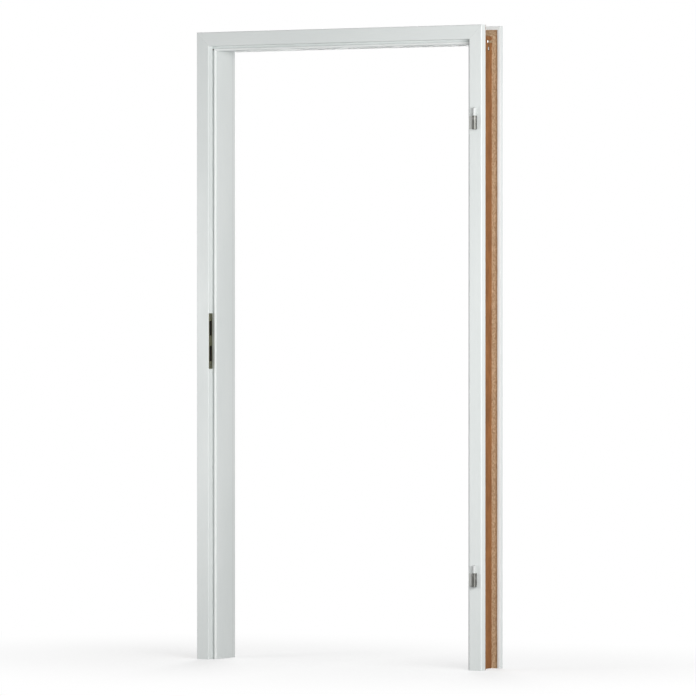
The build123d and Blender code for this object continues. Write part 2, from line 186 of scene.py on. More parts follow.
class FittingSettings(bpy.types.PropertyGroup):
    """Seals, strike plate, hinges, screws and bolts."""

    seal_color: color_setting("Seal", "White rubber of the tube seals", (0.87, 0.89, 0.88))
    seal_wave: length_setting(
        "Seal Wave", "How much the tube swells and thins along its length", 0.12 * MM
    )
    strike_color: color_setting(
        "Strike Plate", "Dull olive nickel of the strike plate", (0.31, 0.31, 0.225)
    )
    # Painted reflection: knuckles and flaps are one metal. The dark knuckle colour stands in for
    # the dark surroundings the barrel reflects, and the flaps take a paler, lit-looking copy.
    knuckle_reflection_color: color_setting("Hinges", "Satin nickel of the hinge knuckles", (0.16, 0.16, 0.15))
    flap_lit_color: color_setting(
        "Hinge Flaps", "Pale zinc of the flaps that hold the knuckles", (0.52, 0.53, 0.51)
    )
    pin_color: color_setting("Hinge Pins", "Bright steel of the hinge pins", (0.56, 0.57, 0.57))
    screw_color: color_setting("Screws", "Nickel plating of the screws", (0.30, 0.30, 0.27))
    zinc_color: color_setting(
        "Corner Bolts", "Zinc plating of the corner bolts", (0.62, 0.63, 0.65)
    )
    sleeve_color: color_setting(
        "Hinge Sleeves", "White plastic of the sleeves on the pins", (0.62, 0.64, 0.63)
    )


# Studio values that no user needs to change
SENSOR_WIDTH = 36.0
CAMERA_SIGHT = 200.0
WHITE = (1.0, 1.0, 1.0, 1.0)
FLOOR_MOTTLE = (0.86, 0.86, 0.86, 1.0)
FLOOR_GAP = 0.3 * MM
FADE_START = 0.05
FADE_END = 1.4
FADE_AT_FOOT = 0.58


class StudioSettings(bpy.types.PropertyGroup):
    """Camera, lamps and floor."""

    camera_azimuth: bpy.props.FloatProperty(
        name="Azimuth",
        description="Angle of the camera to the right of straight ahead",
        subtype="ANGLE",
        unit="ROTATION",
        default=math.radians(30.72),
    )
    camera_distance: length_setting("Distance", "Distance of the camera over the floor plan", 17.0)
    camera_height: length_setting("Height", "Height of the camera over the floor", 1.209)
    camera_aim: bpy.props.FloatVectorProperty(
        name="Aim",
        description="Point that the camera looks at",
        subtype="TRANSLATION",
        unit="LENGTH",
        size=3,
        default=(0.005, 0.0, 1.010),
    )
    camera_lens: bpy.props.FloatProperty(
        name="Lens",
        description="Focal length on a 36 mm wide sensor, in millimetres",
        default=275.1,
    )
    key_power: power_setting("Key Lamp", "Power of the soft lamp at the right front", 141.0)
    side_power: power_setting("Side Lamp", "Power of the soft lamp at the right", 30.0)
    fill_power: power_setting("Fill Lamp", "Power of the soft lamp at the left front", 20.5)
    back_power: power_setting("Back Lamp", "Power of the soft lamp behind the frame", 190.0)
    room_light: bpy.props.FloatProperty(
        name="Room Light",
        description="Strength of the even light from all round",
        default=0.25,
    )
    floor_color: color_setting("Floor", "Pale floor as the camera sees it", (0.94, 0.94, 0.94))
    floor_bounce: color_setting(
        "Floor Bounce", "Floor as it lights the frame from below", (0.20, 0.20, 0.20)
    )
    floor_radius: length_setting("Floor Radius", "Radius of the round floor", 40.0)


# Building nodes


def feed(tree, socket, value):
    """Links a node's output to an input, or sets the input to a plain value."""
    if isinstance(value, bpy.types.NodeSocket):
        tree.links.new(value, socket)
    else:
        socket.default_value = value


def put(tree, kind, inputs=None, **settings):
    """Adds a node, sets its options, and sets or links its inputs by name or number."""
    node = tree.nodes.new(kind)
    for name, value in settings.items():
        setattr(node, name, value)
    for name, value in (inputs or {}).items():
        feed(tree, node.inputs[name], value)
    return node


def calc(tree, operation, *values, clamp=False):
    """Output of a Math node."""
    inputs = dict(enumerate(values))
    return put(tree, "ShaderNodeMath", inputs, operation=operation, use_clamp=clamp).outputs[0]


def vector_calc(tree, operation, first, second):
    """Output of a Vector Math node."""
    return put(tree, "ShaderNodeVectorMath", {0: first, 1: second}, operation=operation).outputs[0]


def axes(tree, vector):
    """The x, y and z of a vector."""
    return put(tree, "ShaderNodeSeparateXYZ", {0: vector}).outputs


def hypotenuse(tree, *sides):
    """Length of the slanted side over two square ones."""
    squares = [calc(tree, "POWER", side, 2.0) for side in sides]
    return calc(tree, "SQRT", calc(tree, "ADD", *squares))


def ramp(tree, value, low, high, to_low=0.0, to_high=1.0):
    """A smooth step of value from low to high."""
    node = put(
        tree,
        "ShaderNodeMapRange",
        {"Value": value, "From Min": low, "From Max": high, "To Min": to_low, "To Max": to_high},
        interpolation_type="SMOOTHSTEP",
    )
    return node.outputs["Result"]


def add_steps(tree, *steps):
    """Two smooth steps added and held between 0 and 1, each (value, low, high, weight)."""
    weighed = [
        calc(tree, "MULTIPLY", ramp(tree, value, low, high), weight)
        for value, low, high, weight in steps
    ]
    return calc(tree, "ADD", *weighed, clamp=True)


def blend(tree, factor, first, second):
    """Colour mixed from first to second."""
    node = put(tree, "ShaderNodeMix", data_type="RGBA")
    for name, value in (("Factor_Float", factor), ("A_Color", first), ("B_Color", second)):
        feed(tree, next(s for s in node.inputs if s.identifier == name), value)
    return next(s for s in node.outputs if s.identifier == "Result_Color")


def stretch(tree, position, scale):
    """Position scaled along each axis."""
    return put(tree, "ShaderNodeMapping", {"Vector": position, "Scale": scale}).outputs[0]


def noise(tree, position, scale, detail=2.0, roughness=0.5, drawn=None):
    """Factor of a Noise texture, drawn out along the axes whose value is less than 1."""
    if drawn:
        position = stretch(tree, position, drawn)
    return put(
        tree,
        "ShaderNodeTexNoise",
        {"Vector": position, "Scale": scale, "Detail": detail, "Roughness": roughness},
    ).outputs[0]


def rgba(color):
    """A setting's colour with full opacity."""
    return (*color, 1.0)


def new_group(name, inputs, outputs):
    """A shader node group with named sockets, what it is given and what it puts out."""
    tree = bpy.data.node_groups.new(name, "ShaderNodeTree")
    for socket_name, kind, default in inputs:
        socket = tree.interface.new_socket(name=socket_name, in_out="INPUT", socket_type=kind)
        if default is not None:
            socket.default_value = default
    for socket_name, kind in outputs:
        tree.interface.new_socket(name=socket_name, in_out="OUTPUT", socket_type=kind)
    given = tree.nodes.new("NodeGroupInput").outputs
    return tree, given, tree.nodes.new("NodeGroupOutput").inputs


def use_group(tree, name, inputs):
    """A node that places a node group, made when it is first asked for."""
    group = bpy.data.node_groups.get(name) or GROUP_MAKERS[name]()
    return put(tree, "ShaderNodeGroup", inputs, node_tree=group)


def give(tree, output, values):
    """Links values to a group's outputs by name."""
    for name, value in values.items():
        tree.links.new(value, output[name])


FLOAT = "NodeSocketFloat"
VECTOR = "NodeSocketVector"
COLOR = "NodeSocketColor"


# Node groups


def make_section_place():
    """Where a point lies in the section, and its position with each board's length along z."""
    tree, get, output = new_group(
        "Section Place",
        [
            ("Position", VECTOR, None),
            ("Clear Half Width", FLOAT, CLEAR_HALF_WIDTH),
            ("Clear Height", FLOAT, CLEAR_HEIGHT),
            ("Front", FLOAT, FRONT),
        ],
        [("Out", FLOAT), ("Back", FLOAT), ("Mitre", FLOAT), ("Board Position", VECTOR)],
    )
    x, y, z = axes(tree, get["Position"])
    aside = calc(tree, "ABSOLUTE", x)
    sideways = calc(tree, "SUBTRACT", aside, get["Clear Half Width"])
    upward = calc(tree, "SUBTRACT", z, get["Clear Height"])
    apart = calc(tree, "ABSOLUTE", calc(tree, "SUBTRACT", sideways, upward))
    in_head = calc(tree, "GREATER_THAN", upward, sideways)
    turned = put(tree, "ShaderNodeCombineXYZ", {0: z, 1: y, 2: x}).outputs[0]
    give(
        tree,
        output,
        {
            "Out": calc(tree, "MAXIMUM", sideways, upward),
            "Back": calc(tree, "SUBTRACT", y, get["Front"]),
            "Mitre": calc(tree, "MULTIPLY", apart, math.sqrt(0.5)),
            "Board Position": blend(tree, in_head, get["Position"], turned),
        },
    )
    return tree


def make_film_wrap():
    """Film as a thin skin inside a rounded outline: 1 on the film, 0 in the board's core."""
    tree, get, output = new_group(
        "Film Wrap",
        [
            ("Out", FLOAT, 0.0),
            ("Back", FLOAT, 0.0),
            ("Inner Face", FLOAT, 0.0),
            ("Outer Face", FLOAT, BEYOND),
            ("Front Face", FLOAT, 0.0),
            ("Back Face", FLOAT, BEYOND),
            ("Edge Radius", FLOAT, 2.0 * MM),
            ("Thickness", FLOAT, 0.4 * MM),
        ],
        [("Film", FLOAT), ("Edge", FLOAT)],
    )
    across = calc(
        tree,
        "MINIMUM",
        calc(tree, "SUBTRACT", get["Out"], get["Inner Face"]),
        calc(tree, "SUBTRACT", get["Outer Face"], get["Out"]),
    )
    deep = calc(
        tree,
        "MINIMUM",
        calc(tree, "SUBTRACT", get["Back"], get["Front Face"]),
        calc(tree, "SUBTRACT", get["Back Face"], get["Back"]),
    )
    near_side = calc(tree, "MAXIMUM", calc(tree, "SUBTRACT", get["Edge Radius"], across), 0.0)
    near_face = calc(tree, "MAXIMUM", calc(tree, "SUBTRACT", get["Edge Radius"], deep), 0.0)
    depth = calc(tree, "SUBTRACT", get["Edge Radius"], hypotenuse(tree, near_side, near_face))
    corner = calc(
        tree,
        "DIVIDE",
        calc(tree, "MULTIPLY", near_side, near_face),
        calc(tree, "POWER", get["Edge Radius"], 2.0),
    )
    give(
        tree,
        output,
        {
            "Film": calc(tree, "LESS_THAN", depth, get["Thickness"]),
            "Edge": calc(tree, "MULTIPLY", corner, 2.0, clamp=True),
        },
    )
    return tree


def make_film_surface():
    """White film: faint clouds of tone, an orange-peel emboss and a gloss that varies a little."""
    tree, get, output = new_group(
        "Film Surface",
        [
            ("Position", VECTOR, None),
            ("Film", COLOR, (0.8, 0.8, 0.8, 1.0)),
            ("Shade", COLOR, (0.7, 0.7, 0.7, 1.0)),
            ("Edge", FLOAT, 0.0),
            ("Emboss Scale", FLOAT, 900.0),
        ],
        [("Color", COLOR), ("Roughness", FLOAT), ("Height", FLOAT)],
    )
    position = get["Position"]
    clouds = noise(tree, position, 4.0, detail=3.0, drawn=(2.0, 2.0, 0.6))
    grain = noise(tree, position, 420.0, detail=3.0, roughness=0.6, drawn=(1.0, 1.0, 0.06))
    emboss = noise(tree, position, get["Emboss Scale"])
    rubbed = noise(tree, position, 14.0, detail=4.0, roughness=0.6, drawn=(1.0, 1.0, 0.3))
    tone = add_steps(tree, (clouds, 0.35, 0.70, 0.55), (grain, 0.35, 0.75, 0.35))
    worn = ramp(tree, rubbed, 0.3, 0.75, to_low=0.40, to_high=0.52)
    gloss = calc(tree, "ADD", worn, calc(tree, "MULTIPLY", grain, 0.05))
    give(
        tree,
        output,
        {
            "Color": blend(tree, tone, get["Film"], get["Shade"]),
            "Roughness": calc(tree, "SUBTRACT", gloss, calc(tree, "MULTIPLY", get["Edge"], 0.06)),
            "Height": calc(tree, "ADD", emboss, calc(tree, "MULTIPLY", grain, 0.5)),
        },
    )
    return tree


def make_particle_board():
    """Pressed wood chips: pale and dark flakes with binder and pits between them."""
    tree, get, output = new_group(
        "Particle Board",
        [
            ("Position", VECTOR, None),
            ("Light Chip", COLOR, (0.5, 0.35, 0.2, 1.0)),
            ("Dark Chip", COLOR, (0.2, 0.1, 0.05, 1.0)),
            ("Chips per Metre", FLOAT, 470.0),
        ],
        [("Color", COLOR), ("Roughness", FLOAT), ("Height", FLOAT)],
    )
    wander = put(
        tree,
        "ShaderNodeTexNoise",
        {"Vector": get["Position"], "Scale": 130.0, "Detail": 3.0},
    ).outputs["Color"]
    largest_push = 3.0 * MM
    pushed = vector_calc(tree, "MULTIPLY", wander, (largest_push,) * 3)
    warped = vector_calc(tree, "ADD", get["Position"], pushed)
    flakes = put(
        tree,
        "ShaderNodeTexVoronoi",
        {"Vector": stretch(tree, warped, (1.0, 1.4, 0.42)), "Scale": get["Chips per Metre"]},
    )
    fines_per_metre = calc(tree, "MULTIPLY", get["Chips per Metre"], 2.6)
    fines = put(
        tree,
        "ShaderNodeTexVoronoi",
        {"Vector": stretch(tree, warped, (1.0, 1.0, 0.7)), "Scale": fines_per_metre},
    )
    flake_tone = put(tree, "ShaderNodeSeparateColor", {0: flakes.outputs["Color"]}).outputs[0]
    fine_tone = put(tree, "ShaderNodeSeparateColor", {0: fines.outputs["Color"]}).outputs[1]
    tone = add_steps(tree, (flake_tone, 0.15, 0.95, 0.62), (fine_tone, 0.3, 1.0, 0.38))
    # 0 in a pit, 1 on the chips
    grit = noise(tree, get["Position"], 700.0, detail=3.0, roughness=0.65)
    whole = ramp(tree, grit, 0.36, 0.46)
    pale = calc(tree, "MULTIPLY", calc(tree, "SUBTRACT", 1.0, tone), whole)
    dark = calc(tree, "SUBTRACT", 1.0, pale, clamp=True)
    domed = calc(tree, "MULTIPLY", flakes.outputs["Distance"], -0.6)
    give(
        tree,
        output,
        {
            "Color": blend(tree, dark, get["Light Chip"], get["Dark Chip"]),
            "Roughness": ramp(tree, tone, 0.0, 1.0, to_low=0.72, to_high=0.92),
            "Height": calc(tree, "ADD", domed, calc(tree, "MULTIPLY", whole, 0.8)),
        },
    )
    return tree


def make_fibre_sheet():
    """Brown backing sheet: soft clouds with fine fibres along the board and small scuffs."""
    tree, get, output = new_group(
        "Fibre Sheet",
        [
            ("Position", VECTOR, None),
            ("Sheet", COLOR, (0.4, 0.2, 0.1, 1.0)),
            ("Fibre", COLOR, (0.2, 0.1, 0.05, 1.0)),
        ],
        [("Color", COLOR), ("Roughness", FLOAT), ("Height", FLOAT)],
    )
    position = get["Position"]
    clouds = noise(tree, position, 26.0, detail=4.0, roughness=0.6, drawn=(1.0, 1.0, 0.35))
    fibres = noise(tree, position, 620.0, detail=3.0, roughness=0.65, drawn=(1.0, 1.0, 0.09))
    specks = noise(tree, position, 330.0)
    tone = add_steps(tree, (clouds, 0.3, 0.7, 0.5), (fibres, 0.35, 0.68, 0.5))
    tone = calc(tree, "ADD", tone, ramp(tree, specks, 0.64, 0.74, to_high=0.5), clamp=True)
    give(
        tree,
        output,
        {
            "Color": blend(tree, tone, get["Sheet"], get["Fibre"]),
            "Roughness": ramp(tree, clouds, 0.3, 0.7, to_low=0.62, to_high=0.82),
            "Height": calc(tree, "ADD", fibres, calc(tree, "MULTIPLY", specks, 0.5)),
        },
    )
    return tree


def make_brushed_metal():
    """Brushed or turned metal: fine streaks, cloudy plating and paler worn places."""
    tree, get, output = new_group(
        "Brushed Metal",
        [
            ("Position", VECTOR, None),
            ("Streak Scale", VECTOR, (1.0, 1.0, 1.0)),
            ("Metal", COLOR, (0.5, 0.5, 0.5, 1.0)),
            ("Worn Metal", COLOR, (0.7, 0.7, 0.7, 1.0)),
            ("Wear", FLOAT, 0.0),
            ("Dullness", FLOAT, 0.3),
        ],
        [("Color", COLOR), ("Roughness", FLOAT), ("Height", FLOAT)],
    )
    scaled = vector_calc(tree, "MULTIPLY", get["Position"], get["Streak Scale"])
    streaks = noise(tree, scaled, 1.0, detail=4.0, roughness=0.7)
    plating = noise(tree, get["Position"], 160.0, detail=3.0, roughness=0.6)
    dim = put(tree, "ShaderNodeHueSaturation", {"Value": 0.80, "Color": get["Metal"]}).outputs[0]
    tone = add_steps(tree, (streaks, 0.3, 0.7, 0.6), (plating, 0.35, 0.7, 0.4))
    rubbed = calc(tree, "MULTIPLY", get["Wear"], ramp(tree, plating, 0.3, 0.6), clamp=True)
    uneven = ramp(tree, streaks, 0.25, 0.75, to_low=-0.06, to_high=0.10)
    rough = calc(tree, "ADD", get["Dullness"], uneven)
    give(
        tree,
        output,
        {
            "Color": blend(tree, rubbed, blend(tree, tone, get["Metal"], dim), get["Worn Metal"]),
            "Roughness": calc(tree, "SUBTRACT", rough, calc(tree, "MULTIPLY", rubbed, 0.08)),
            "Height": streaks,
        },
    )
    return tree


def make_moulded_surface():
    """Moulded rubber or plastic: faint flow lines, tiny pores and soft changes of gloss."""
    tree, get, output = new_group(
        "Moulded Surface",
        [
            ("Position", VECTOR, None),
            ("Base", COLOR, (0.8, 0.8, 0.8, 1.0)),
            ("Flow Scale", VECTOR, (900.0, 900.0, 30.0)),
            ("Dullness", FLOAT, 0.5),
        ],
        [("Color", COLOR), ("Roughness", FLOAT), ("Height", FLOAT)],
    )
    scaled = vector_calc(tree, "MULTIPLY", get["Position"], get["Flow Scale"])
    flow = noise(tree, scaled, 1.0, detail=3.0, roughness=0.6)
    pores = noise(tree, get["Position"], 1900.0)
    clouds = noise(tree, get["Position"], 22.0, detail=3.0)
    dim = put(tree, "ShaderNodeHueSaturation", {"Value": 0.93, "Color": get["Base"]}).outputs[0]
    tone = add_steps(tree, (flow, 0.35, 0.7, 0.5), (clouds, 0.35, 0.7, 0.5))
    uneven = ramp(tree, clouds, 0.3, 0.7, to_low=-0.05, to_high=0.07)
    lines = calc(tree, "MULTIPLY", flow, 0.6)
    give(
        tree,
        output,
        {
            "Color": blend(tree, tone, get["Base"], dim),
            "Roughness": calc(tree, "ADD", get["Dullness"], uneven),
            "Height": calc(tree, "ADD", lines, calc(tree, "MULTIPLY", pores, 0.4)),
        },
    )
    return tree


GROUP_MAKERS = {
    "Section Place": make_section_place,
    "Film Wrap": make_film_wrap,
    "Film Surface": make_film_surface,
    "Particle Board": make_particle_board,
    "Fibre Sheet": make_fibre_sheet,
    "Brushed Metal": make_brushed_metal,
    "Moulded Surface": make_moulded_surface,
}


# Materials


def new_material(name):
    """A material with its node tree, its own Principled BSDF and the Object coordinates."""
    material = bpy.data.materials.new(name)
    material.use_nodes = True
    tree = material.node_tree
    shader = next(n for n in tree.nodes if n.type == "BSDF_PRINCIPLED")
    position = put(tree, "ShaderNodeTexCoord").outputs["Object"]
    return material, tree, shader, position


def empty_tree(owner):
    """The node tree of a material or a world, with nothing in it yet."""
    owner.use_nodes = True
    owner.node_tree.nodes.clear()
    return owner.node_tree


def finish_material(tree, shader, color, roughness, height, depth, strength):
    """Links a surface to the shader. Its height becomes a bump, depth metres high."""
    tree.links.new(color, shader.inputs["Base Color"])
    tree.links.new(roughness, shader.inputs["Roughness"])
    bump = put(tree, "ShaderNodeBump", {"Height": height, "Distance": depth, "Strength": strength})
    tree.links.new(bump.outputs[0], shader.inputs["Normal"])


def dress(names, material):
    """Puts a material into the slots of CAD nodes."""
    for name in names:
        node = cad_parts[name]
        if not node.material_slots:
            node.data.materials.append(material)
        for slot in node.material_slots:
            slot.link = "OBJECT"
            slot.material = material


def mix_surfaces(tree, mask, first, second):
    """Colour, roughness and height of two surfaces mixed by a mask; 1 shows the second."""
    color = blend(tree, mask, first[0], second[0])
    values = []
    for a, b in zip(first[1:], second[1:]):
        node = put(tree, "ShaderNodeMix", data_type="FLOAT")
        tree.links.new(mask, node.inputs[0])
        tree.links.new(a, node.inputs[2])
        tree.links.new(b, node.inputs[3])
        values.append(node.outputs[0])
    return color, *values


def surface(node):
    """Colour, roughness and height that a group puts out."""
    return node.outputs["Color"], node.outputs["Roughness"], node.outputs["Height"]


def finish_metal(tree, shader, inputs, depth, strength):
    """Brushed metal with these inputs, over the whole material."""
    shader.inputs["Metallic"].default_value = 1.0
    metal = use_group(tree, "Brushed Metal", inputs)
    finish_material(tree, shader, *surface(metal), depth=depth, strength=strength)


def board_surfaces(tree, position, settings, edge):
    """Film, particle board and backing sheet, ready to be mixed on one board."""
    layers = {
        "Film Surface": {
            "Film": rgba(settings.film_color),
            "Shade": rgba(settings.film_shade),
            "Edge": edge,
        },
        "Particle Board": {
            "Light Chip": rgba(settings.chip_light),
            "Dark Chip": rgba(settings.chip_dark),
        },
        "Fibre Sheet": {
            "Sheet": rgba(settings.backing_light),
            "Fibre": rgba(settings.backing_dark),
        },
    }
    return [
        surface(use_group(tree, name, {"Position": position, **inputs}))
        for name, inputs in layers.items()
    ]


def darken_joint(tree, found, joint):
    """Hairline of shadow where two boards meet."""
    gap_color = (0.16, 0.155, 0.145, 1.0)
    gap_share = 0.62
    return blend(tree, calc(tree, "MULTIPLY", joint, gap_share), found[0], gap_color), *found[1:]


def new_board_material(name, settings, outline, radius, cover, joint):
    """A board's material. cover gives what lies under the film, and joint masks its hairlines.

    outline gives the film's faces that aren't at the opening, the front or far beyond the board.
    """
    material, tree, shader, position = new_material(name)
    place = use_group(tree, "Section Place", {"Position": position}).outputs
    wrap = use_group(
        tree,
        "Film Wrap",
        {
            "Out": place["Out"],
            "Back": place["Back"],
            "Edge Radius": radius,
            "Thickness": settings.film_thickness,
            **outline,
        },
    ).outputs
    film, chips, sheet = board_surfaces(tree, place["Board Position"], settings, wrap["Edge"])
    under, film_mask = cover(tree, position, place, chips, sheet, wrap["Film"])
    film = darken_joint(tree, film, joint(tree, place))
    found = mix_surfaces(tree, film_mask, under, film)
    finish_material(tree, shader, *found, depth=0.12 * MM, strength=0.7)
    return material


def wavy(tree, position, value, size):
    """value with a slightly uneven, hand-cut course, at most half of size off either way."""
    course = noise(tree, position, 38.0, detail=3.0)
    swing = calc(tree, "MULTIPLY", calc(tree, "SUBTRACT", course, 0.5), size)
    return calc(tree, "ADD", value, swing)


# Mesh pieces


def new_object(name, data):
    """An object in the scene's collection."""
    item = bpy.data.objects.new(name, data)
    bpy.context.scene.collection.objects.link(item)
    return item


def new_mesh(name, build):
    """A mesh made of what was built, with its faces turned outward."""
    bmesh.ops.recalc_face_normals(build, faces=build.faces)
    mesh = bpy.data.meshes.new(name)
    build.to_mesh(mesh)
    build.free()
    return mesh


def new_piece(name, mesh, material):
    """A visible piece, which stays where the frame stands."""
    piece = new_object(name, mesh)
    mesh.materials.append(material)
    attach(piece, "root")
    return piece


def sweep_section(name, rings, member, count, sway):
    """A closed member of the frame with mitred ends, swept in count steps.

    rings are closed outlines in (out, back), the first one outer and the others hollows. member
    is left, right or head. sway gives a change of (out, back) at a point of the section and a
    place from 0 to 1 along the member.
    """
    build = bmesh.new()
    stations = [i / count for i in range(count + 1)]

    def place(out, back, along):
        if member == "head":
            half = CLEAR_HALF_WIDTH + out
            return Vector(((2 * along - 1) * half, FRONT + back, CLEAR_HEIGHT + out))
        across = SIDES[member] * (CLEAR_HALF_WIDTH + out)
        return Vector((across, FRONT + back, along * (CLEAR_HEIGHT + out)))

    ends = []
    for ring in rings:
        loops = []
        for along in stations:
            loop = []
            for out, back in ring:
                change = sway(out, back, along)
                loop.append(build.verts.new(place(out + change[0], back + change[1], along)))
            loops.append(loop)
        for near, far in zip(loops, loops[1:]):
            for i, vertex in enumerate(near):
                after = (i + 1) % len(near)
                build.faces.new((vertex, near[after], far[after], far[i]))
        ends.append((loops[0], loops[-1]))
    for which in (0, 1):
        edges = []
        for pair in ends:
            loop = pair[which]
            for i, vertex in enumerate(loop):
                edges.append(build.edges.get((vertex, loop[(i + 1) % len(loop)])))
        bmesh.ops.triangle_fill(build, edges=edges, use_beauty=True)
    mesh = new_mesh(name, build)
    mesh.shade_smooth()
    mesh.set_sharp_from_angle(angle=SHARP_ANGLE)
    return mesh


def waviness(along, waves):
    """Waves added up at a place from 0 to 1, each (height, radians over the length, start)."""
    return sum(height * math.sin(along * turn + start) for height, turn, start in waves)


def seal_outline():
    """The tube seal's outline, with bulb, cover lips and barbed foot, and its hollow."""
    radius = (SEAL_OUT - SEAL_IN) / 2
    middle = (SEAL_IN + SEAL_OUT) / 2
    centre = SEAL_FRONT + radius
    stop = LINING_FRONT
    lip = 0.5 * MM
    lip_lift = 0.02 * MM
    stem = 0.9 * MM
    barb = 1.75 * MM
    wall = 1.0 * MM
    half_arc = math.radians(128)
    arc_steps = 26
    hollow_steps = 24
    # Shares of the radius, at the lip's near and far side, and of the stem at the foot's end
    lip_near = 0.93
    lip_far = 0.96
    foot_end = 0.7
    outer = []
    for i in range(arc_steps + 1):
        angle = -half_arc + 2 * half_arc * i / arc_steps
        outer.append((middle + radius * math.sin(angle), centre - radius * math.cos(angle)))
    right_side = [
        (middle + radius * lip_near, stop - lip),
        (middle + radius * lip_far, stop - lip_lift),
        (middle + stem, stop - lip_lift),
    ]
    # Barbs, as shares of the foot's length
    foot = SEAL_BACK - stop
    first_barb = 0.12
    barb_pitch = 0.27
    barb_tip = 0.06
    barb_end = 0.20
    for k in range(3):
        start = stop + foot * (first_barb + barb_pitch * k)
        right_side.append((middle + stem, start))
        right_side.append((middle + barb, start + foot * barb_tip))
        right_side.append((middle + stem, start + foot * barb_end))
    right_side.append((middle + stem * foot_end, SEAL_BACK))
    left_side = [(2 * middle - out, back) for out, back in reversed(right_side)]
    inner = radius - wall
    hollow = []
    for i in range(hollow_steps):
        angle = math.tau * i / hollow_steps
        hollow.append((middle + inner * math.sin(angle), centre - inner * math.cos(angle)))
    return outer + right_side + left_side, hollow


# Operators


class DOORFRAME_OT_linings(bpy.types.Operator):
    """Dress the three linings: film towards the opening, brown backing sheet towards the wall"""

    bl_idname = "doorframe.linings"
    bl_label = "Linings"

    def execute(self, context):
        settings = context.scene.doorframe_boards
        sheet_thickness = 0.3 * MM
        pocket_reach = 30.0 * MM
        pocket_shade_share = 0.75

        def cover(tree, position, place, chips, sheet, film):
            backing = calc(tree, "GREATER_THAN", place["Out"], LINING_OUT - sheet_thickness)
            # Painted shade: chips higher than 30 mm below the clear height are darkened towards the
            # pocket colour, in place of the shade in the bolt pockets and at the seal groove's end.
            height = axes(tree, position)[2]
            near_top = calc(tree, "GREATER_THAN", height, CLEAR_HEIGHT - pocket_reach)
            painted_pocket_shade = calc(tree, "MULTIPLY", near_top, pocket_shade_share)
            shaded_chips = blend(tree, painted_pocket_shade, chips[0], rgba(settings.pocket_shade_color)), *chips[1:]
            return mix_surfaces(tree, backing, shaded_chips, sheet), film

        def joint(tree, place):
            return calc(tree, "GREATER_THAN", place["Back"], LINING_BACK - settings.joint_width)

        material = new_board_material(
            "Lining Board",
            settings,
            {"Front Face": LINING_FRONT},
            settings.stop_edge_radius,
            cover,
            joint,
        )
        dress(("left_lining", "right_lining", "head_lining"), material)
        return {"FINISHED"}


class DOORFRAME_OT_front_casings(bpy.types.Operator):
    """Dress the three front casings, whose film stops short of the wall on the outer side"""

    bl_idname = "doorframe.front_casings"
    bl_label = "Front Casings"

    def execute(self, context):
        settings = context.scene.doorframe_boards
        trim_wave = 1.2 * MM
        side_depth = 5.0 * MM
        keep_inner = REBATE_OUT + STRIKE_THICKNESS + 0.1 * MM
        keep_front = 2.0 * MM
        keep_back = CASING_BACK - 3.0 * MM

        def cover(tree, position, place, chips, sheet, film):
            out, back = place["Out"], place["Back"]
            wavy_back = wavy(tree, position, back, trim_wave)
            trimmed = calc(tree, "GREATER_THAN", wavy_back, settings.film_side)
            outer = calc(tree, "GREATER_THAN", out, CASING_OUT - side_depth)
            bare = calc(tree, "MULTIPLY", trimmed, outer)
            # Painted shade: inside the keeps behind the strike plate the bare board takes the
            # near-black keep colour in place of the shade in these deep pockets.
            keep = calc(tree, "GREATER_THAN", out, keep_inner)
            for side, value, limit in (
                ("GREATER_THAN", back, keep_front),
                ("LESS_THAN", back, keep_back),
                ("LESS_THAN", out, CASING_OUT - side_depth),
            ):
                keep = calc(tree, "MULTIPLY", keep, calc(tree, side, value, limit))
            raw = mix_surfaces(tree, bare, chips, sheet)
            keep_painted_shade = blend(tree, keep, raw[0], rgba(settings.keep_shade_color)), *raw[1:]
            return keep_painted_shade, calc(tree, "MULTIPLY", film, calc(tree, "SUBTRACT", 1.0, bare))

        def joint(tree, place):
            return calc(tree, "LESS_THAN", place["Mitre"], settings.joint_width / 2)

        material = new_board_material(
            "Front Casing Board",
            settings,
            {"Inner Face": REBATE_OUT, "Outer Face": CASING_OUT},
            settings.front_edge_radius,
            cover,
            joint,
        )
        dress(("left_front_casing", "right_front_casing", "head_front_casing"), material)
        return {"FINISHED"}


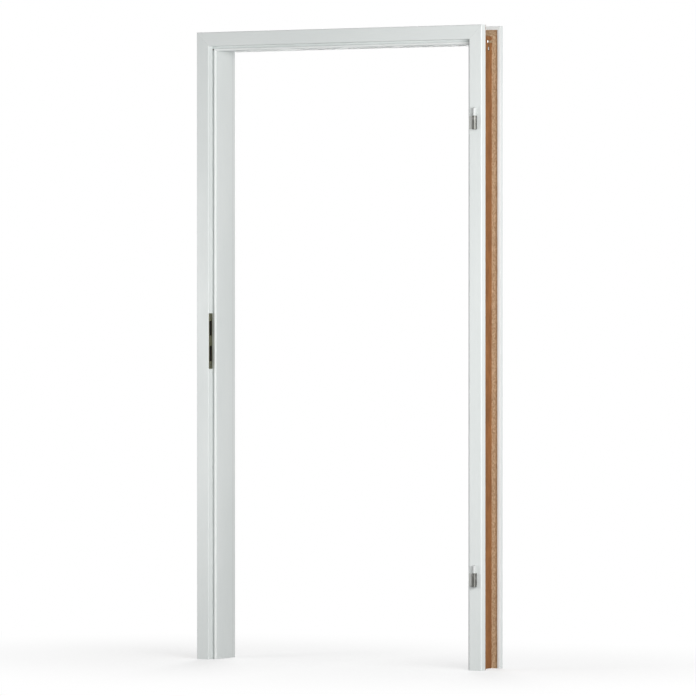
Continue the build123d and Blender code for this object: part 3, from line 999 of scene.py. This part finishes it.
class DOORFRAME_OT_back_casings(bpy.types.Operator):
    """Dress the three back casings and lay the film's turned edge on their wall side"""

    bl_idname = "doorframe.back_casings"
    bl_label = "Back Casings"

    def execute(self, context):
        settings = context.scene.doorframe_boards
        relief_start = LINING_BACK + 0.2 * MM
        sheet_share = 0.35

        def cover(tree, position, place, chips, sheet, film):
            relief = calc(tree, "GREATER_THAN", place["Back"], relief_start)
            share = calc(tree, "MULTIPLY", relief, sheet_share)
            return mix_surfaces(tree, share, chips, sheet), film

        def joint(tree, place):
            across = calc(tree, "LESS_THAN", place["Mitre"], settings.joint_width / 2)
            along = calc(tree, "LESS_THAN", place["Back"], LINING_BACK + settings.joint_width)
            return calc(tree, "MAXIMUM", across, along)

        material = new_board_material(
            "Back Casing Board",
            settings,
            {"Outer Face": CASING_OUT, "Front Face": -BEYOND, "Back Face": FRAME_BACK},
            settings.back_edge_radius,
            cover,
            joint,
        )
        dress(("left_back_casing", "right_back_casing", "head_back_casing"), material)
        self.lay_film_returns(settings)
        return {"FINISHED"}

    def lay_film_returns(self, settings):
        """The film's turned edge on each casing's wall side: a thin strip, unevenly cut."""
        material, tree, shader, position = new_material("Turned Film")
        place = use_group(tree, "Section Place", {"Position": position})
        film = use_group(
            tree,
            "Film Surface",
            {
                "Position": place.outputs["Board Position"],
                # Painted light: the turned edge takes a whiter copy of the film colour, as if more
                # brightly lit.
                "Film": rgba(settings.return_lit_color),
                "Shade": rgba(settings.film_color),
            },
        )
        finish_material(tree, shader, *surface(film), depth=0.12 * MM, strength=0.7)
        inset = 0.05 * MM
        lift = 0.28 * MM
        fold_depth = 0.4 * MM
        fold_round = 0.2 * MM
        cut_slope = 0.5 * MM
        cut_depth = 0.05 * MM
        cut_reach = 1.0 * MM
        cut_wave = 0.14 * MM
        waves = ((1.0, 61.0, 0.0), (0.6, 143.0, 1.3), (0.4, 397.0, 0.4))
        outer = CASING_OUT - inset
        inner = CASING_OUT - settings.film_return
        face = LINING_BACK
        outline = [
            (outer, face + fold_depth),
            (outer, face - lift * 0.5),
            (outer - fold_round, face - lift),
            (inner + cut_slope, face - lift),
            (inner, face - lift * 0.35),
            (inner, face + cut_depth),
        ]

        def sway(out, back, along):
            """The cut side wanders, and the folded side is straight."""
            if out > inner + cut_reach:
                return 0.0, 0.0
            return cut_wave * waviness(along, waves), 0.0

        for member, count in (("left", 320), ("right", 320), ("head", 170)):
            name = f"{member}_film_return"
            mesh = sweep_section(name, [outline], member, count, sway)
            new_piece(name, mesh, material)


class DOORFRAME_OT_seals(bpy.types.Operator):
    """Sweep the tube seals with their bulb, cover lips and barbed foot, mitred at the corners"""

    bl_idname = "doorframe.seals"
    bl_label = "Seals"

    def execute(self, context):
        settings = context.scene.doorframe_fittings
        material, tree, shader, position = new_material("Seal Rubber")
        place = use_group(tree, "Section Place", {"Position": position})
        along = place.outputs["Board Position"]
        moulded = use_group(
            tree,
            "Moulded Surface",
            {"Position": along, "Base": rgba(settings.seal_color), "Dullness": 0.52},
        )
        finish_material(tree, shader, *surface(moulded), depth=0.05 * MM, strength=0.5)
        glow_depth = 2.0 * MM
        shader.inputs["Subsurface Weight"].default_value = 0.08
        shader.inputs["Subsurface Radius"].default_value = (glow_depth,) * 3
        rings = seal_outline()
        middle = (SEAL_IN + SEAL_OUT) / 2
        bulb = LINING_FRONT - 1.0 * MM
        press = 0.8
        waves = ((0.6, 37.0, 0.7), (0.4, 91.0, 0.0))

        def sway(out, back, along):
            """The bulb is squeezed and pulled a little where it was pressed in by hand."""
            if back > bulb:
                return 0.0, 0.0
            lift = (bulb - back) / (bulb - SEAL_FRONT)
            inward = (middle - out) / (SEAL_OUT - middle)
            pull = settings.seal_wave * (1.0 + waviness(along, waves)) / 2
            return pull * inward * lift, pull * press * lift

        for member, count in (("left", 150), ("right", 150), ("head", 80)):
            name = f"{member}_tube_seal"
            mesh = sweep_section(name, rings, member, count, sway)
            piece = new_piece(name, mesh, material)
            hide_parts(f"{member}_seal")
        return {"FINISHED"}


class DOORFRAME_OT_strike_plate(bpy.types.Operator):
    """Dress the strike plate in dull brushed nickel with rubbed rims"""

    bl_idname = "doorframe.strike_plate"
    bl_label = "Strike Plate"

    def execute(self, context):
        settings = context.scene.doorframe_fittings
        low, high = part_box("strike_plate")
        material, tree, shader, position = new_material("Strike Plate Steel")
        split = axes(tree, position)
        rim_width = 1.4 * MM
        from_rims = []
        for axis in (1, 2):
            middle = (low[axis] + high[axis]) / 2
            half = (high[axis] - low[axis]) / 2
            off = calc(tree, "ABSOLUTE", calc(tree, "SUBTRACT", split[axis], middle))
            from_rims.append(calc(tree, "SUBTRACT", half, off))
        from_rim = calc(tree, "MINIMUM", *from_rims)
        metal = {
            "Position": position,
            "Streak Scale": (2600.0, 2600.0, 60.0),
            "Metal": rgba(settings.strike_color),
            "Worn Metal": (0.42, 0.40, 0.31, 1.0),
            "Wear": ramp(tree, from_rim, 0.0, rim_width, to_low=0.9, to_high=0.0),
            "Dullness": 0.36,
        }
        finish_metal(tree, shader, metal, depth=0.02 * MM, strength=0.5)
        dress(("strike_plate",), material)
        return {"FINISHED"}


class DOORFRAME_OT_hinges(bpy.types.Operator):
    """Dress the hinge knuckles, their pins and the sleeves on the pins"""

    bl_idname = "doorframe.hinges"
    bl_label = "Hinges"

    def execute(self, context):
        settings = context.scene.doorframe_fittings
        knuckle, flap, pin = settings.knuckle_reflection_color, settings.flap_lit_color, settings.pin_color
        # Painted reflection: the knuckle barrel is painted dark and the flap pale, though both are
        # one metal.
        self.dress_metal("Hinge Steel", knuckle, flap, "hinge_knuckle", dullness=0.42)
        self.dress_metal("Hinge Pin Steel", pin, pin, "hinge_pin", dullness=0.2)
        material, tree, shader, position = new_material("Sleeve Plastic")
        moulded = use_group(
            tree,
            "Moulded Surface",
            {
                "Position": position,
                "Base": rgba(settings.sleeve_color),
                "Flow Scale": (1400.0, 1400.0, 260.0),
                "Dullness": 0.4,
            },
        )
        finish_material(tree, shader, *surface(moulded), depth=0.04 * MM, strength=0.5)
        dress([f"{level}_hinge_sleeve" for level in LEVELS], material)
        return {"FINISHED"}

    def dress_metal(self, name, color, flap_lit_color, part, dullness):
        """Turned metal; what lies outside the knuckle's barrel takes the flap's colour. The dark
        barrel and the paler flap are one metal: the difference is a painted reflection.
        """
        material, tree, shader, position = new_material(name)
        split = axes(tree, position)
        barrel = KNUCKLE_RADIUS + 0.2 * MM
        sides = [calc(tree, "SUBTRACT", split[axis], HINGE_AXIS[axis]) for axis in (0, 1)]
        flap = calc(tree, "GREATER_THAN", hypotenuse(tree, *sides), barrel)
        rub = ramp(tree, noise(tree, position, 55.0, detail=3.0), 0.52, 0.72, to_high=0.35)
        metal = {
            "Position": position,
            "Streak Scale": (420.0, 420.0, 3600.0),
            "Metal": blend(tree, flap, rgba(color), rgba(flap_lit_color)),
            "Worn Metal": (0.58, 0.58, 0.55, 1.0),
            "Wear": calc(tree, "MULTIPLY", rub, calc(tree, "SUBTRACT", 1.0, flap)),
            "Dullness": calc(tree, "ADD", calc(tree, "MULTIPLY", flap, 0.12), dullness),
        }
        finish_metal(tree, shader, metal, depth=0.015 * MM, strength=0.4)
        dress([f"{level}_{part}" for level in LEVELS], material)


class DOORFRAME_OT_screws(bpy.types.Operator):
    """Dress the strike plate's and the hinges' screws, and the corner bolts"""

    bl_idname = "doorframe.screws"
    bl_label = "Screws and Bolts"

    def execute(self, context):
        settings = context.scene.doorframe_fittings
        self.dress_metal(
            ("strike_plate_screws", "upper_hinge_screws", "lower_hinge_screws"),
            "Screw Steel",
            settings.screw_color,
            worn=(0.5, 0.5, 0.47, 1.0),
            dullness=0.3,
            wear=0.6,
        )
        self.dress_metal(
            ("left_corner_bolts", "right_corner_bolts"),
            "Zinc Steel",
            settings.zinc_color,
            worn=(0.75, 0.75, 0.74, 1.0),
            dullness=0.40,
            wear=0.3,
        )
        return {"FINISHED"}

    def dress_metal(self, nodes, name, color, worn, dullness, wear):
        """Plated metal, rubbed in small spots."""
        material, tree, shader, position = new_material(name)
        spots = noise(tree, position, 420.0, detail=3.0)
        metal = {
            "Position": position,
            "Streak Scale": (1500.0, 1500.0, 1500.0),
            "Metal": rgba(color),
            "Worn Metal": worn,
            "Wear": ramp(tree, spots, 0.48, 0.70, to_high=wear),
            "Dullness": dullness,
        }
        finish_metal(tree, shader, metal, depth=0.02 * MM, strength=0.5)
        dress(nodes, material)


class DOORFRAME_OT_stage(bpy.types.Operator):
    """Set up the camera, the lamps, the even room light and the pale floor"""

    bl_idname = "doorframe.stage"
    bl_label = "Studio"

    def execute(self, context):
        settings = context.scene.doorframe_studio
        context.scene.view_settings.view_transform = "Standard"
        self.set_camera(context, settings)
        self.set_lamps(settings)
        self.set_world(context, settings)
        self.lay_floor(settings)
        return {"FINISHED"}

    def point_at(self, item, target):
        """Turns a camera or a lamp towards a point."""
        item.rotation_euler = (target - item.location).to_track_quat("-Z", "Y").to_euler()

    def set_camera(self, context, settings):
        data = bpy.data.cameras.new("photograph_camera")
        data.sensor_width = SENSOR_WIDTH
        data.lens = settings.camera_lens
        data.clip_end = CAMERA_SIGHT
        camera = new_object("photograph_camera", data)
        camera.location = (
            settings.camera_distance * math.sin(settings.camera_azimuth),
            -settings.camera_distance * math.cos(settings.camera_azimuth),
            settings.camera_height,
        )
        self.point_at(camera, Vector(settings.camera_aim))
        context.scene.camera = camera

    def set_lamps(self, settings):
        middle = Vector((0.0, 0.0, 1.05))
        for name, place, size, power in (
            ("key_lamp", (3.3, -2.6, 1.5), 2.2, settings.key_power),
            ("side_lamp", (3.6, -0.8, 1.5), 1.3, settings.side_power),
            ("fill_lamp", (-1.7, -2.0, 1.0), 1.0, settings.fill_power),
            ("back_lamp", (-2.4, 4.6, 2.4), 2.2, settings.back_power),
        ):
            data = bpy.data.lights.new(name, "AREA")
            data.shape = "SQUARE"
            data.size = size
            data.energy = power
            lamp = new_object(name, data)
            lamp.location = place
            self.point_at(lamp, middle)

    def seen_directly(self, tree):
        """1 for camera, glossy and transmission rays."""
        path = put(tree, "ShaderNodeLightPath")
        seen = calc(tree, "MAXIMUM", path.outputs["Is Camera Ray"], path.outputs["Is Glossy Ray"])
        return calc(tree, "MAXIMUM", seen, path.outputs["Is Transmission Ray"])

    def set_world(self, context, settings):
        world = bpy.data.worlds.new("studio_world")
        context.scene.world = world
        tree = empty_tree(world)
        shaders = [
            put(tree, "ShaderNodeBackground", {"Color": WHITE, "Strength": strength}).outputs[0]
            for strength in (settings.room_light, 1.0)
        ]
        mixed = self.mix_shaders(tree, self.seen_directly(tree), *shaders)
        put(tree, "ShaderNodeOutputWorld", {"Surface": mixed})

    def mix_shaders(self, tree, factor, first, second):
        """A shader mixed from first to second."""
        return put(tree, "ShaderNodeMixShader", {0: factor, 1: first, 2: second}).outputs[0]

    def lay_floor(self, settings):
        """A round floor in rings, a hair below the frame's feet."""
        build = bmesh.new()
        around = 96
        rings = [0.5, 1.0, 2.0, 4.0, 8.0, 16.0, settings.floor_radius]
        directions = [math.tau * i / around for i in range(around)]
        loops = [
            [build.verts.new((radius * math.cos(a), radius * math.sin(a), 0.0)) for a in directions]
            for radius in rings
        ]
        build.faces.new(loops[0])
        for near, far in zip(loops, loops[1:]):
            for i in range(around):
                after = (i + 1) % around
                build.faces.new((near[i], far[i], far[after], near[after]))
        mesh = new_mesh("floor", build)
        mesh.materials.append(self.new_floor_material(settings))
        floor = new_object("floor", mesh)
        floor.location.z = -FLOOR_GAP

    def new_floor_material(self, settings):
        """Pale floor that fades to the background's white away from the feet."""
        material = bpy.data.materials.new("Pale Floor")
        tree = empty_tree(material)
        position = put(tree, "ShaderNodeTexCoord").outputs["Object"]
        x, y = axes(tree, position)[:2]
        sideways = calc(
            tree, "SUBTRACT", calc(tree, "ABSOLUTE", x), CLEAR_HALF_WIDTH + CASING_OUT / 2
        )
        from_foot = hypotenuse(tree, sideways, y)
        fade = ramp(tree, from_foot, FADE_START, FADE_END, to_low=FADE_AT_FOOT)
        mottle = calc(tree, "MULTIPLY", noise(tree, position, 3.0, detail=4.0), 0.12)
        tone = blend(tree, mottle, rgba(settings.floor_color), FLOOR_MOTTLE)
        matt = put(tree, "ShaderNodeBsdfDiffuse", {"Color": tone}).outputs[0]
        white = put(tree, "ShaderNodeEmission", {"Color": WHITE, "Strength": 1.0}).outputs[0]
        shown = self.mix_shaders(tree, fade, matt, white)
        bounce = {"Color": rgba(settings.floor_bounce)}
        bounced = put(tree, "ShaderNodeBsdfDiffuse", bounce).outputs[0]
        by_camera = put(tree, "ShaderNodeLightPath").outputs["Is Camera Ray"]
        mixed = self.mix_shaders(tree, by_camera, bounced, shown)
        put(tree, "ShaderNodeOutputMaterial", {"Surface": mixed})
        return material


# Panel and registration


class DOORFRAME_PT_panel(bpy.types.Panel):
    """Door frame tools and settings"""

    bl_idname = "DOORFRAME_PT_panel"
    bl_label = "Door Frame"
    bl_space_type = "VIEW_3D"
    bl_region_type = "UI"
    bl_category = "Door Frame"

    def draw(self, context):
        layout = self.layout
        for operator in OPERATORS:
            layout.operator(operator.bl_idname)
        for attribute, kind in SETTINGS.items():
            box = layout.box()
            settings = getattr(context.scene, attribute)
            for name in kind.__annotations__:
                box.prop(settings, name)


OPERATORS = (
    DOORFRAME_OT_linings,
    DOORFRAME_OT_front_casings,
    DOORFRAME_OT_back_casings,
    DOORFRAME_OT_seals,
    DOORFRAME_OT_strike_plate,
    DOORFRAME_OT_hinges,
    DOORFRAME_OT_screws,
    DOORFRAME_OT_stage,
)
SETTINGS = {
    "doorframe_boards": BoardSettings,
    "doorframe_fittings": FittingSettings,
    "doorframe_studio": StudioSettings,
}


def register():
    for kind in (*SETTINGS.values(), *OPERATORS, DOORFRAME_PT_panel):
        bpy.utils.register_class(kind)
    for attribute, kind in SETTINGS.items():
        setattr(bpy.types.Scene, attribute, bpy.props.PointerProperty(type=kind))


def unregister():
    for attribute in SETTINGS:
        delattr(bpy.types.Scene, attribute)
    for kind in reversed((*SETTINGS.values(), *OPERATORS, DOORFRAME_PT_panel)):
        bpy.utils.unregister_class(kind)


def main():
    register()
    for operator in OPERATORS:
        group, name = operator.bl_idname.split(".")
        getattr(getattr(bpy.ops, group), name)()


if __name__ == "__main__":
    main()
